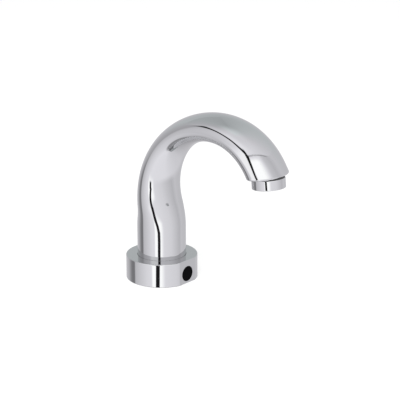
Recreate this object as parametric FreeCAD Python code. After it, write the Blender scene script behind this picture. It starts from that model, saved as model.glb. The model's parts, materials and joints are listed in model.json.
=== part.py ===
import FreeCAD, Part
import os
from math import cos, hypot, pi, radians, sin, sqrt

# Deck-mounted sensor tap for a wash basin, in millimetres.
# Frame: +Z up, the spout points along -Y, and the origin lies on the deck plane
# under the centre of the base ring. Everything is symmetric about X = 0 except
# the two sensor diodes, which sit side by side.

# ---------------------------------------------------------------- driving sizes
# Base ring
RING_RADIUS = 29.0
RING_HEIGHT = 19.4
RING_FLAT_DEPTH = 1.5           # flat in front of the ring, cut this far into the round
RING_TOP_ROUND = 0.6
RING_FOOT_CHAMFER = 0.3
RING_WEB_BOTTOM = 4.4
RING_WEB_THICKNESS = 3.0

# Spout: centre line in the plane X = 0, going up, a little back, then forward
COLUMN_RADIUS = 19.7
COLUMN_TOP = 47.6
LEAN_RADIUS = 71.2
LEAN_ANGLE = 10.85
CROWN_RADIUS = 60.7
CROWN_ANGLE = 112.2
DROP_RADIUS = 52.6
DROP_ANGLE = 47.95
TIP_LENGTH = 3.8
NARROWING_LENGTH = 83.4         # along the centre line, from the top of the column
NARROWING_EASE = 5.0            # the narrowing starts softly over this much each way
THIN_HALF_DEPTH = 10.8          # half thickness of the arch, front to back
FLARE_LENGTH = 45.0
TIP_HALF_DEPTH = 12.0
TIP_HALF_WIDTH = 20.0
SPOUT_WALL = 2.5
SPOUT_NOSE_SOLID = 14.0         # solid metal before the end face
SPOUT_END_ROUND = 1.2
OUTLET_TILT = 5.65              # outlet axis and end face, away from vertical

# Outlet nozzle and aerator, along the outlet axis from the end face
NOZZLE_THREAD_RADIUS = 11.0     # M22 x 1 outside
NOZZLE_LENGTH = 5.2
NOZZLE_BORE_RADIUS = 9.3
NOZZLE_BORE_DEPTH = 4.4
NOZZLE_SPIGOT_RADIUS = 8.5
NOZZLE_SPIGOT_LENGTH = 4.5
NOZZLE_PASSAGE_RADIUS = 6.0
AERATOR_RADIUS = 12.8
AERATOR_END = 8.7
AERATOR_GAP = 1.0               # under the end face, filled by the outlet seal
AERATOR_EDGE_ROUND = 0.5
AERATOR_MOUTH_RADIUS = 9.0
WASHER_THICKNESS = 0.8
CARTRIDGE_FLANGE = 0.8
CARTRIDGE_WALL = 1.0
CARTRIDGE_TOP = 2.4
SCREEN_HEIGHT = 1.3
SCREEN_THICKNESS = 0.35
STRAIGHTENER_THICKNESS = 1.2
STRAIGHTENER_HOLE_RADIUS = 0.8
STRAIGHTENER_PITCH = 2.1
STRAIGHTENER_RECESS = 0.4
FLOW_DISC_THICKNESS = 1.0
FLOW_DISC_HOLE_RADIUS = 0.6
FLOW_DISC_HOLES = 12
FLOW_DISC_HOLE_CIRCLE = 5.8
REGULATOR_CORD_RADIUS = 0.7
REGULATOR_RADIUS = 3.6

# Water way
TUBE_RADIUS = 5.0
TUBE_WALL = 1.0
TUBE_SOCKET_DEPTH = 5.0
SEAL_CORD_RADIUS = 0.6
MANIFOLD_TOWER_RADIUS = 7.0
MANIFOLD_TOWER_HEIGHT = 15.0
MANIFOLD_FLANGE_THICKNESS = 2.0
MANIFOLD_SPIGOT_LENGTH = 9.4
INLET_THREAD_RADIUS = 5.0       # M10 x 1 inside
INLET_DEPTH = 10.0
INLET_PASSAGE_RADIUS = 3.5
FILTER_RADIUS = 4.5
FILTER_THICKNESS = 1.0
FILTER_ROWS = 2
FILTER_ROW_PITCH = 1.6
FILTER_HOLE_RADIUS = 0.5
CABLE_HOLE_RADIUS = 1.9
CABLE_HOLE_OFFSET = 6.9         # in front of the axis
GROMMET_WALL = 0.6
GROMMET_LIP = 0.2

# Sensor, along +Y from the flat
SENSOR_HEIGHT = 8.1
WINDOW_RADIUS = 6.25
WINDOW_THICKNESS = 1.8
WINDOW_EDGE = 0.3
WINDOW_SEAL_THICKNESS = 0.6
CAPSULE_RADIUS = 5.1
CAPSULE_LENGTH = 10.0
CAPSULE_WALL = 0.8
DIODE_RADIUS = 1.5
DIODE_FLANGE_RADIUS = 1.75
DIODE_FLANGE_THICKNESS = 0.8
DIODE_LENGTH = 5.0
DIODE_SPACING = 4.8
DIODE_SETBACK = 0.3
BAFFLE_THICKNESS = 0.8
BOARD_THICKNESS = 1.2
BACK_COVER_THICKNESS = 1.5
BACK_COVER_HOLE_RADIUS = 1.6

# Deck fixing
PLATE_RADIUS = 20.3
PLATE_BOTTOM = 0.4
SHANK_RADIUS = 12.0             # M24 x 1.5
SHANK_BORE_RADIUS = 9.5
SHANK_END = -60.0
SHANK_THREAD_PITCH = 1.5
SHANK_THREAD_DEPTH = 0.8
SHANK_THREAD_TOP = -2.0
DECK_THICKNESS = 20.0           # worktop the fixing is drawn clamped to
RUBBER_WASHER_RADIUS = 23.0
RUBBER_WASHER_THICKNESS = 3.0
STEEL_WASHER_RADIUS = 22.0
STEEL_WASHER_THICKNESS = 2.0
NUT_ACROSS_FLATS = 36.0
NUT_HEIGHT = 8.0
NUT_FLANGE_RADIUS = 21.0
NUT_FLANGE_THICKNESS = 2.0
SEAL_INNER_RADIUS = 22.6
SEAL_WIDTH = 2.8
SEAL_THICKNESS = 1.2
SCREW_COUNT = 3
SCREW_CIRCLE = 16.2
SCREW_RADIUS = 1.9
SCREW_HEAD_RADIUS = 3.3
SCREW_HEAD_HEIGHT = 2.2
SCREW_SOCKET_RADIUS = 1.4
SCREW_SOCKET_DEPTH = 1.3
SCREW_LENGTH = 12.0             # under the head
LUG_RADIUS = 3.6
LUG_HEIGHT = 10.0

# Clearances and fits, radial or per face
FIT = 0.05                      # located parts and thread crests
LOOSE_FIT = 0.1                 # parts that drop in
SEAL_FIT = 0.02                 # rubber against metal
WASHER_PLAY = 0.5               # washers on the shank
POCKET_ROOM = 1.0               # air round the sensor capsule inside the base
CARTRIDGE_PLAY = 0.5            # cartridge in the nozzle

# Drawing aids
PAST = 1.0                      # cutting shapes run this far past the face they open
TRIM_BLOCK = 60.0               # half size of the block that trims the end of the spout
SAME_PLACE = 0.01               # points closer than this count as one
SECTION_STEP = 7.5              # spacing of the spout's sections along the centre line
FIRST_SECTION_SHARE = 0.6       # extra section in the easing, keeps the column's end round
TIP_ALLOWANCE = 9.0             # drawn past the end face, then trimmed off

# ---------------------------------------------------------------- worked-out sizes
RING_FLAT_DISTANCE = RING_RADIUS - RING_FLAT_DEPTH      # from the axis
WEB_TOP = RING_WEB_BOTTOM + RING_WEB_THICKNESS
SPOUT_FOOT = WEB_TOP
CAPSULE_FRONT = WINDOW_THICKNESS + WINDOW_SEAL_THICKNESS
CAPSULE_BACK = CAPSULE_FRONT + CAPSULE_LENGTH
POCKET_HALF_WIDTH = CAPSULE_RADIUS + POCKET_ROOM
POCKET_BACK = RING_FLAT_DISTANCE - CAPSULE_BACK - POCKET_ROOM / 2
WASHER_TOP = NOZZLE_LENGTH
FLANGE_TOP = WASHER_TOP + WASHER_THICKNESS
LEDGE = FLANGE_TOP + CARTRIDGE_FLANGE
CARTRIDGE_RADIUS = NOZZLE_BORE_RADIUS - CARTRIDGE_PLAY
CARTRIDGE_END = AERATOR_END - STRAIGHTENER_RECESS

Y_AXIS = FreeCAD.Vector(0, 1, 0)
Z_AXIS = FreeCAD.Vector(0, 0, 1)
ORIGIN = FreeCAD.Vector(0, 0, 0)


# ---------------------------------------------------------------- shape helpers
def cylinder(radius, low, high, x=0.0, y=0.0):
    """Upright cylinder from z = low to z = high."""
    return Part.makeCylinder(radius, high - low, FreeCAD.Vector(x, y, low))


def tube(outer, inner, low, high):
    """Upright tube about the Z axis."""
    return cylinder(outer, low, high).cut(cylinder(inner, low - PAST, high + PAST))


def turned(profile):
    """Solid of revolution about Z of a closed outline of (radius, z) points."""
    points = [FreeCAD.Vector(r, 0, z) for r, z in profile]
    face = Part.Face(Part.makePolygon(points + points[:1]))
    return face.revolve(ORIGIN, Z_AXIS, 360.0)


def torus(radius, cord_radius, z):
    """Rubber ring about the Z axis."""
    return Part.makeTorus(radius, cord_radius, FreeCAD.Vector(0, 0, z), Z_AXIS)


def placed(shape, origin, axis):
    """Copy of a shape drawn about Z, standing on origin along axis."""
    copy = shape.copy()
    copy.Placement = FreeCAD.Placement(origin, FreeCAD.Rotation(Z_AXIS, axis))
    return copy


def cut_all(shape, tools):
    """The shape less every tool, in order."""
    for tool in tools:
        shape = shape.cut(tool)
    return shape


def edges_on_circle(shape, radius, z):
    """Edges that lie whole on the given upright cylinder at height z."""
    def on_circle(point):
        return abs(hypot(point.x, point.y) - radius) < SAME_PLACE and abs(point.z - z) < SAME_PLACE
    found = []
    for edge in shape.Edges:
        first, last = edge.ParameterRange
        samples = [edge.valueAt(first + (last - first) * k / 4.0) for k in range(5)]
        if all(on_circle(point) for point in samples):
            found.append(edge)
    return found


# ---------------------------------------------------------------- spout centre line
def centre_line_runs():
    """Runs of the centre line above the column: (length, turn in radians)."""
    lean = radians(LEAN_ANGLE)
    crown = radians(CROWN_ANGLE)
    drop = radians(DROP_ANGLE)
    return [(LEAN_RADIUS * lean, -lean),
            (CROWN_RADIUS * crown, crown),
            (DROP_RADIUS * drop, drop),
            (TIP_LENGTH, 0.0)]


def spout_length():
    """Length of the centre line from the column's top to the end face."""
    return sum(length for length, _ in centre_line_runs())


def centre_line(distance):
    """Forward and up position and heading (from +Z, forward) at a distance.

    The distance is counted along the centre line from the top of the column.
    Before the first run and after the last one the line goes on straight.
    """
    forward, up, heading = 0.0, COLUMN_TOP, 0.0
    if distance <= 0.0:
        return forward, up + distance, heading
    left = distance
    for length, turn in centre_line_runs():
        step = min(left, length)
        if turn == 0.0:
            forward += step * sin(heading)
            up += step * cos(heading)
        else:
            radius = length / turn
            after = heading + turn * step / length
            forward += radius * (cos(heading) - cos(after))
            up += radius * (sin(after) - sin(heading))
            heading = after
        left -= step
        if left <= 0.0:
            return forward, up, heading
    return forward + left * sin(heading), up + left * cos(heading), heading


def at(forward, up):
    """Point in the plane of symmetry."""
    return FreeCAD.Vector(0, -forward, up)


def half_width(distance):
    """Half the spout's width, side to side."""
    share = max(0.0, distance / spout_length())
    return COLUMN_RADIUS + (TIP_HALF_WIDTH - COLUMN_RADIUS) * share


def half_depth(distance):
    """Half the spout's thickness, front to back."""
    eased = max(0.0, distance)
    if abs(distance) < NARROWING_EASE:
        eased = (distance + NARROWING_EASE) ** 2 / (4.0 * NARROWING_EASE)
    share = min(1.0, eased / NARROWING_LENGTH)
    depth = THIN_HALF_DEPTH + (COLUMN_RADIUS - THIN_HALF_DEPTH) * (1.0 - share) ** 2
    flare = max(0.0, (distance - spout_length() + FLARE_LENGTH) / FLARE_LENGTH)
    flare = min(flare, 1.0)
    return depth + (TIP_HALF_DEPTH - THIN_HALF_DEPTH) * flare * flare * (1.5 - 0.5 * flare)


END_FORWARD, END_UP, END_HEADING = centre_line(spout_length())
END_POINT = at(END_FORWARD, END_UP)
OUTLET_AXIS = at(sin(radians(OUTLET_TILT)), -cos(radians(OUTLET_TILT)))
# The water tube stands where the centre line leans furthest back.
TUBE_TURN_DISTANCE = LEAN_RADIUS * radians(LEAN_ANGLE) + CROWN_RADIUS * radians(LEAN_ANGLE)
TUBE_FORWARD, TUBE_TURN_UP, _ = centre_line(TUBE_TURN_DISTANCE)
# It ends straight, in a socket across the cavity's far end.
MOUTH_DISTANCE = spout_length() - SPOUT_NOSE_SOLID
MOUTH_FORWARD, MOUTH_UP, MOUTH_HEADING = centre_line(MOUTH_DISTANCE)
MOUTH_POINT = at(MOUTH_FORWARD, MOUTH_UP)
MOUTH_AXIS = at(sin(MOUTH_HEADING), cos(MOUTH_HEADING))


def section(distance, inset):
    """Elliptic section wire across the centre line, inset by a wall."""
    forward, up, heading = centre_line(distance)
    wide = half_width(distance) - inset
    deep = half_depth(distance) - inset
    # columns of the matrix: sideways, across the spout in the plane X = 0, along
    across = at(-cos(heading), sin(heading))
    along = at(sin(heading), cos(heading))
    centre = at(forward, up)
    matrix = FreeCAD.Matrix(wide, 0, 0, 0,
                            0, deep * across.y, along.y, centre.y,
                            0, deep * across.z, along.z, centre.z,
                            0, 0, 0, 1)
    circle = Part.makeCircle(1.0).transformGeometry(matrix)
    return Part.Wire([circle])


def spout_form(inset, low, last):
    """Spout volume from height low to a distance: a round column, then a loft."""
    join = -2.0 * NARROWING_EASE
    column = cylinder(COLUMN_RADIUS - inset, low, COLUMN_TOP + join)
    steps = int((last - join) / SECTION_STEP)
    stations = [join + (last - join) * k / steps for k in range(steps + 1)]
    stations.insert(1, FIRST_SECTION_SHARE * join)
    arch = Part.makeLoft([section(distance, inset) for distance in stations], True, False)
    return column.fuse(arch)


def beyond_end():
    """Block that holds everything past the end face."""
    block = Part.makeBox(2 * TRIM_BLOCK, 2 * TRIM_BLOCK, TRIM_BLOCK,
                         FreeCAD.Vector(-TRIM_BLOCK, -TRIM_BLOCK, 0))
    return placed(block, END_POINT, OUTLET_AXIS)


def end_face_edges(shape):
    """Edges of the shape that lie in the end face's plane."""
    def in_plane(point):
        return abs((point - END_POINT).dot(OUTLET_AXIS)) < SAME_PLACE
    return [edge for edge in shape.Edges
            if in_plane(edge.valueAt(edge.FirstParameter))
            and in_plane(edge.valueAt((edge.FirstParameter + edge.LastParameter) / 2))
            and in_plane(edge.valueAt(edge.LastParameter))]


def screw_places():
    """X, Y of the base screws; the first one is at the back."""
    angles = [pi / 2 + 2 * pi * k / SCREW_COUNT for k in range(SCREW_COUNT)]
    return [(SCREW_CIRCLE * cos(a), SCREW_CIRCLE * sin(a)) for a in angles]


def sensor_placed(shape):
    """Sensor part, drawn along Z from the flat, turned to look forward."""
    return placed(shape, FreeCAD.Vector(0, -RING_FLAT_DISTANCE, SENSOR_HEIGHT), Y_AXIS)


def outlet_placed(shape):
    """Outlet part, drawn along Z from the end face, turned to the outlet axis."""
    return placed(shape, END_POINT, OUTLET_AXIS)


def sensor_pocket():
    """Room for the sensor capsule in the plate and the ring's web."""
    front = PLATE_RADIUS + LOOSE_FIT
    return Part.makeBox(2 * POCKET_HALF_WIDTH, front - POCKET_BACK, WEB_TOP + LOOSE_FIT,
                        FreeCAD.Vector(-POCKET_HALF_WIDTH, -front, 0))


def mouth_placed(shape):
    """Shape drawn along Z from the tube's socket mouth in the nose of the spout."""
    return placed(shape, MOUTH_POINT, MOUTH_AXIS)


# ---------------------------------------------------------------- body and base
def make_spout_body():
    """Cast spout: column, arch and solid nose with its water passages."""
    length = spout_length()
    outside = spout_form(0.0, SPOUT_FOOT, length + TIP_ALLOWANCE).cut(beyond_end())
    outside = outside.makeFillet(SPOUT_END_ROUND, end_face_edges(outside))
    cavity = spout_form(SPOUT_WALL, SPOUT_FOOT - PAST, length - SPOUT_NOSE_SOLID)
    body = outside.cut(cavity)
    lugs = [cylinder(LUG_RADIUS, SPOUT_FOOT, SPOUT_FOOT + LUG_HEIGHT, x, y)
            .common(cylinder(COLUMN_RADIUS - SPOUT_WALL / 2, SPOUT_FOOT, SPOUT_FOOT + LUG_HEIGHT))
            for x, y in screw_places()]
    body = body.fuse(lugs)
    screw_top = PLATE_BOTTOM + SCREW_HEAD_HEIGHT + SCREW_LENGTH
    holes = [cylinder(SCREW_RADIUS + FIT, SPOUT_FOOT - PAST, screw_top + PAST, x, y)
             for x, y in screw_places()]
    notch = sensor_placed(cylinder(CAPSULE_RADIUS + LOOSE_FIT, 0.0,
                                   RING_FLAT_DISTANCE - POCKET_BACK))
    nozzle_seat = outlet_placed(cylinder(NOZZLE_SPIGOT_RADIUS + FIT,
                                         -NOZZLE_SPIGOT_LENGTH - FIT, PAST))
    socket = mouth_placed(cylinder(TUBE_RADIUS + FIT, -PAST, TUBE_SOCKET_DEPTH + FIT))
    passage = mouth_placed(cylinder(TUBE_RADIUS - TUBE_WALL, 0.0, SPOUT_NOSE_SOLID))
    groove = mouth_placed(torus(TUBE_RADIUS + SEAL_CORD_RADIUS, SEAL_CORD_RADIUS + SEAL_FIT,
                                TUBE_SOCKET_DEPTH / 2))
    return cut_all(body, holes + [notch, nozzle_seat, socket, passage, groove])


def make_base_ring():
    """Heavy base ring with a front flat, a web inside and the sensor bore."""
    blank = cylinder(RING_RADIUS, 0.0, RING_HEIGHT)
    blank = blank.makeFillet(RING_TOP_ROUND, edges_on_circle(blank, RING_RADIUS, RING_HEIGHT))
    blank = blank.makeChamfer(RING_FOOT_CHAMFER, edges_on_circle(blank, RING_RADIUS, 0.0))
    reach = 2 * RING_RADIUS
    front = Part.makeBox(2 * reach, reach, 2 * reach,
                         FreeCAD.Vector(-reach, -RING_FLAT_DISTANCE - reach, -reach))
    blank = blank.cut(front)
    column_bore = cylinder(COLUMN_RADIUS + LOOSE_FIT, WEB_TOP, RING_HEIGHT + PAST)
    recess = cylinder(PLATE_RADIUS + LOOSE_FIT, -PAST, RING_WEB_BOTTOM)
    shank_hole = cylinder(SHANK_RADIUS + LOOSE_FIT, 0.0, WEB_TOP + PAST)
    groove = tube(SEAL_INNER_RADIUS + SEAL_WIDTH + FIT, SEAL_INNER_RADIUS - FIT, -PAST, SEAL_THICKNESS)
    holes = [cylinder(SCREW_RADIUS + LOOSE_FIT, 0.0, WEB_TOP + PAST, x, y) for x, y in screw_places()]
    window_bore = sensor_placed(cylinder(WINDOW_RADIUS + FIT, -PAST, CAPSULE_FRONT))
    capsule_bore = sensor_placed(cylinder(CAPSULE_RADIUS + FIT, 0.0,
                                          RING_FLAT_DISTANCE - POCKET_BACK))
    return cut_all(blank, [column_bore, recess, shank_hole, groove, window_bore, capsule_bore,
                           sensor_pocket()] + holes)


def make_deck_seal():
    """Flat rubber ring in the underside of the base."""
    return tube(SEAL_INNER_RADIUS + SEAL_WIDTH, SEAL_INNER_RADIUS, 0.0, SEAL_THICKNESS)


def make_base_plate():
    """Brass plate under the web, tapped for the shank."""
    plate = cylinder(PLATE_RADIUS, PLATE_BOTTOM, RING_WEB_BOTTOM)
    shank_hole = cylinder(SHANK_RADIUS + FIT, 0.0, RING_WEB_BOTTOM + PAST)
    cuts = [shank_hole, sensor_pocket()]
    for x, y in screw_places():
        cuts.append(cylinder(SCREW_RADIUS + LOOSE_FIT, 0.0, RING_WEB_BOTTOM + PAST, x, y))
        cuts.append(cylinder(SCREW_HEAD_RADIUS + LOOSE_FIT, 0.0, PLATE_BOTTOM + SCREW_HEAD_HEIGHT, x, y))
    return cut_all(plate, cuts)


def make_base_screws():
    """Socket screws that clamp plate, ring and spout together, as one group."""
    screws = []
    head_top = PLATE_BOTTOM + SCREW_HEAD_HEIGHT
    for x, y in screw_places():
        head = cylinder(SCREW_HEAD_RADIUS, PLATE_BOTTOM, head_top, x, y)
        stem = cylinder(SCREW_RADIUS, PLATE_BOTTOM, head_top + SCREW_LENGTH, x, y)
        socket = hexagon_prism(SCREW_SOCKET_RADIUS, PLATE_BOTTOM - PAST,
                               PLATE_BOTTOM + SCREW_SOCKET_DEPTH, x, y)
        screws.append(head.fuse(stem).cut(socket))
    return Part.makeCompound(screws)


def hexagon_prism(inner_radius, low, high, x=0.0, y=0.0):
    """Upright hexagonal prism with the given distance from axis to flat."""
    corner = inner_radius / cos(pi / 6)
    points = [FreeCAD.Vector(x + corner * cos(k * pi / 3), y + corner * sin(k * pi / 3), low)
              for k in range(6)]
    face = Part.Face(Part.makePolygon(points + points[:1]))
    return face.extrude(FreeCAD.Vector(0, 0, high - low))


# ---------------------------------------------------------------- deck fixing
def make_threaded_shank():
    """Hollow shank with a ridged thread, screwed into the base plate."""
    root = SHANK_RADIUS - SHANK_THREAD_DEPTH
    outline = [(SHANK_BORE_RADIUS, WEB_TOP), (SHANK_RADIUS, WEB_TOP), (SHANK_RADIUS, SHANK_THREAD_TOP)]
    turns = int((SHANK_THREAD_TOP - SHANK_END) / SHANK_THREAD_PITCH)
    for k in range(turns):
        crest = SHANK_THREAD_TOP - k * SHANK_THREAD_PITCH
        outline.append((root, crest - SHANK_THREAD_PITCH / 2))
        outline.append((SHANK_RADIUS, crest - SHANK_THREAD_PITCH))
    outline.append((root, SHANK_END))
    outline.append((SHANK_BORE_RADIUS, SHANK_END))
    return turned(outline)


def make_rubber_washer():
    """Rubber washer against the underside of the worktop."""
    top = -DECK_THICKNESS
    return tube(RUBBER_WASHER_RADIUS, SHANK_RADIUS + WASHER_PLAY, top - RUBBER_WASHER_THICKNESS, top)


def make_steel_washer():
    """Steel washer between the rubber washer and the nut."""
    top = -DECK_THICKNESS - RUBBER_WASHER_THICKNESS
    return tube(STEEL_WASHER_RADIUS, SHANK_RADIUS + WASHER_PLAY, top - STEEL_WASHER_THICKNESS, top)


def make_back_nut():
    """Flanged hexagon nut on the shank."""
    top = -DECK_THICKNESS - RUBBER_WASHER_THICKNESS - STEEL_WASHER_THICKNESS
    flange = cylinder(NUT_FLANGE_RADIUS, top - NUT_FLANGE_THICKNESS, top)
    hexagon = hexagon_prism(NUT_ACROSS_FLATS / 2, top - NUT_HEIGHT, top)
    bore = cylinder(SHANK_RADIUS + FIT, top - NUT_HEIGHT - PAST, top + PAST)
    return flange.fuse(hexagon).cut(bore).removeSplitter()


# ---------------------------------------------------------------- water way
MANIFOLD_BOTTOM = WEB_TOP - MANIFOLD_SPIGOT_LENGTH
PORT_TOP = MANIFOLD_BOTTOM + INLET_DEPTH
MANIFOLD_FLANGE_TOP = WEB_TOP + MANIFOLD_FLANGE_THICKNESS
MANIFOLD_TOP = MANIFOLD_FLANGE_TOP + MANIFOLD_TOWER_HEIGHT
TUBE_START_UP = MANIFOLD_TOP - 2 * TUBE_SOCKET_DEPTH
LOWER_SEAL_UP = MANIFOLD_TOP - TUBE_SOCKET_DEPTH


def make_inlet_manifold():
    """Brass manifold on top of the shank: hose port below, tube socket above."""
    back = -TUBE_FORWARD
    flange = cylinder(SHANK_RADIUS, WEB_TOP, MANIFOLD_FLANGE_TOP)
    spigot = cylinder(SHANK_BORE_RADIUS - FIT, MANIFOLD_BOTTOM, MANIFOLD_FLANGE_TOP)
    tower = cylinder(MANIFOLD_TOWER_RADIUS, WEB_TOP, MANIFOLD_TOP, 0.0, back)
    solid = flange.fuse([spigot, tower])
    port = cylinder(INLET_THREAD_RADIUS, MANIFOLD_BOTTOM - PAST, PORT_TOP, 0.0, back)
    filter_seat = cylinder(FILTER_RADIUS + FIT, PORT_TOP - PAST, PORT_TOP + FILTER_THICKNESS, 0.0, back)
    passage = cylinder(INLET_PASSAGE_RADIUS, MANIFOLD_BOTTOM, MANIFOLD_TOP, 0.0, back)
    socket = cylinder(TUBE_RADIUS + FIT, TUBE_START_UP - FIT, MANIFOLD_TOP + PAST, 0.0, back)
    groove = torus(TUBE_RADIUS + SEAL_CORD_RADIUS, SEAL_CORD_RADIUS + SEAL_FIT, LOWER_SEAL_UP)
    groove.translate(FreeCAD.Vector(0, back, 0))
    cable_hole = cylinder(CABLE_HOLE_RADIUS, MANIFOLD_BOTTOM - PAST, MANIFOLD_FLANGE_TOP + PAST,
                          0.0, -CABLE_HOLE_OFFSET)
    return cut_all(solid, [port, filter_seat, passage, socket, groove, cable_hole])


def make_inlet_filter():
    """Fine strainer disc in its seat above the hose port."""
    top = PORT_TOP + FILTER_THICKNESS
    disc = cylinder(FILTER_RADIUS, PORT_TOP, top, 0.0, -TUBE_FORWARD)
    holes = []
    for row in range(1, FILTER_ROWS + 1):
        circle = FILTER_ROW_PITCH * row
        for k in range(6 * row):
            angle = 2 * pi * k / (6 * row)
            holes.append(cylinder(FILTER_HOLE_RADIUS, PORT_TOP - PAST, top + PAST,
                                  circle * cos(angle), circle * sin(angle) - TUBE_FORWARD))
    return disc.cut(Part.makeCompound(holes))


def make_cable_grommet():
    """Rubber bush where the sensor cable leaves the body."""
    outer = CABLE_HOLE_RADIUS - FIT
    lip = CABLE_HOLE_RADIUS + GROMMET_LIP
    inner = CABLE_HOLE_RADIUS - GROMMET_WALL
    profile = [(inner, WEB_TOP), (outer, WEB_TOP), (outer, MANIFOLD_FLANGE_TOP),
               (lip, MANIFOLD_FLANGE_TOP), (lip, MANIFOLD_FLANGE_TOP + GROMMET_LIP),
               (inner, MANIFOLD_FLANGE_TOP + GROMMET_LIP)]
    bush = turned(profile)
    bush.translate(FreeCAD.Vector(0, -CABLE_HOLE_OFFSET, 0))
    return bush


def tube_path():
    """Wire along the water tube: upright, then with the spout's centre line."""
    crown_end = LEAN_RADIUS * radians(LEAN_ANGLE) + CROWN_RADIUS * radians(CROWN_ANGLE)
    def point(distance):
        forward, up, _ = centre_line(distance)
        return at(forward, up)
    start = at(TUBE_FORWARD, TUBE_START_UP)
    turn = at(TUBE_FORWARD, TUBE_TURN_UP)
    line = Part.LineSegment(start, turn).toShape()
    crown = Part.Arc(turn, point((TUBE_TURN_DISTANCE + crown_end) / 2), point(crown_end)).toShape()
    drop = Part.Arc(point(crown_end), point((crown_end + MOUTH_DISTANCE) / 2), MOUTH_POINT).toShape()
    plug = Part.LineSegment(MOUTH_POINT, MOUTH_POINT + MOUTH_AXIS * TUBE_SOCKET_DEPTH).toShape()
    return Part.Wire([line, crown, drop, plug])


def make_water_tube():
    """Bent copper tube from the manifold to the nose."""
    start = at(TUBE_FORWARD, TUBE_START_UP)
    volumes = []
    for radius in (TUBE_RADIUS, TUBE_RADIUS - TUBE_WALL):
        profile = Part.Wire([Part.makeCircle(radius, start, Z_AXIS)])
        volumes.append(tube_path().makePipeShell([profile], True, False))
    outer, inner = volumes
    return outer.cut(inner)


def make_tube_seal_lower():
    """Rubber ring round the tube in the manifold."""
    seal = torus(TUBE_RADIUS + SEAL_CORD_RADIUS, SEAL_CORD_RADIUS - SEAL_FIT, LOWER_SEAL_UP)
    seal.translate(FreeCAD.Vector(0, -TUBE_FORWARD, 0))
    return seal


def make_tube_seal_upper():
    """Rubber ring round the tube in the nose of the spout."""
    return mouth_placed(torus(TUBE_RADIUS + SEAL_CORD_RADIUS, SEAL_CORD_RADIUS - SEAL_FIT,
                              TUBE_SOCKET_DEPTH / 2))


# ---------------------------------------------------------------- outlet
def make_outlet_nozzle():
    """Brass nozzle in the end face, with an outside thread for the aerator."""
    spigot = cylinder(NOZZLE_SPIGOT_RADIUS, -NOZZLE_SPIGOT_LENGTH, NOZZLE_LENGTH)
    collar = cylinder(NOZZLE_THREAD_RADIUS, 0.0, NOZZLE_LENGTH)
    passage = cylinder(NOZZLE_PASSAGE_RADIUS, -NOZZLE_SPIGOT_LENGTH - PAST, NOZZLE_LENGTH)
    chamber = cylinder(NOZZLE_BORE_RADIUS, NOZZLE_LENGTH - NOZZLE_BORE_DEPTH, NOZZLE_LENGTH + PAST)
    return outlet_placed(cut_all(spigot.fuse(collar), [passage, chamber]))


def make_outlet_seal():
    """Black rubber ring round the nozzle, between end face and outlet ring."""
    return outlet_placed(tube(AERATOR_RADIUS - AERATOR_EDGE_ROUND, NOZZLE_THREAD_RADIUS + FIT,
                              0.0, AERATOR_GAP - SEAL_FIT))


def make_aerator_housing():
    """Visible outlet ring, threaded inside, with a ledge for the cartridge."""
    shell = cylinder(AERATOR_RADIUS, AERATOR_GAP, AERATOR_END)
    edges = edges_on_circle(shell, AERATOR_RADIUS, AERATOR_END) \
        + edges_on_circle(shell, AERATOR_RADIUS, AERATOR_GAP)
    shell = shell.makeFillet(AERATOR_EDGE_ROUND, edges)
    thread = cylinder(NOZZLE_THREAD_RADIUS + FIT, 0.0, LEDGE)
    mouth = cylinder(AERATOR_MOUTH_RADIUS, 0.0, AERATOR_END + PAST)
    return outlet_placed(cut_all(shell, [thread, mouth]))


def make_aerator_washer():
    """Rubber washer between nozzle and cartridge."""
    return outlet_placed(tube(NOZZLE_THREAD_RADIUS, CARTRIDGE_RADIUS + LOOSE_FIT, WASHER_TOP, FLANGE_TOP))


def make_aerator_cartridge():
    """Plastic cartridge body, hung on its flange."""
    inner = CARTRIDGE_RADIUS - CARTRIDGE_WALL
    lower = AERATOR_MOUTH_RADIUS - LOOSE_FIT
    seat = CARTRIDGE_TOP + 2 * REGULATOR_CORD_RADIUS + FLOW_DISC_THICKNESS
    profile = [(inner, CARTRIDGE_TOP), (CARTRIDGE_RADIUS, CARTRIDGE_TOP),
               (CARTRIDGE_RADIUS, FLANGE_TOP), (NOZZLE_THREAD_RADIUS, FLANGE_TOP),
               (NOZZLE_THREAD_RADIUS, LEDGE), (lower, LEDGE), (lower, CARTRIDGE_END),
               (inner, CARTRIDGE_END), (inner, CARTRIDGE_END - STRAIGHTENER_THICKNESS),
               (inner - CARTRIDGE_WALL, CARTRIDGE_END - STRAIGHTENER_THICKNESS),
               (inner - CARTRIDGE_WALL, seat), (inner, seat)]
    return outlet_placed(turned(profile))


def make_stream_straightener():
    """Grid of holes that the water leaves through."""
    radius = CARTRIDGE_RADIUS - CARTRIDGE_WALL - FIT
    low, high = CARTRIDGE_END - STRAIGHTENER_THICKNESS, CARTRIDGE_END
    disc = cylinder(radius, low, high)
    rows = int(radius / STRAIGHTENER_PITCH) + 1
    holes = []
    for i in range(-rows, rows + 1):
        for j in range(-rows, rows + 1):
            x = STRAIGHTENER_PITCH * (i + j / 2.0)
            y = STRAIGHTENER_PITCH * j * sqrt(3.0) / 2.0
            if hypot(x, y) + STRAIGHTENER_HOLE_RADIUS < radius - CARTRIDGE_WALL / 2:
                holes.append(cylinder(STRAIGHTENER_HOLE_RADIUS, low - PAST, high + PAST, x, y))
    return outlet_placed(disc.cut(Part.makeCompound(holes)))


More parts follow.
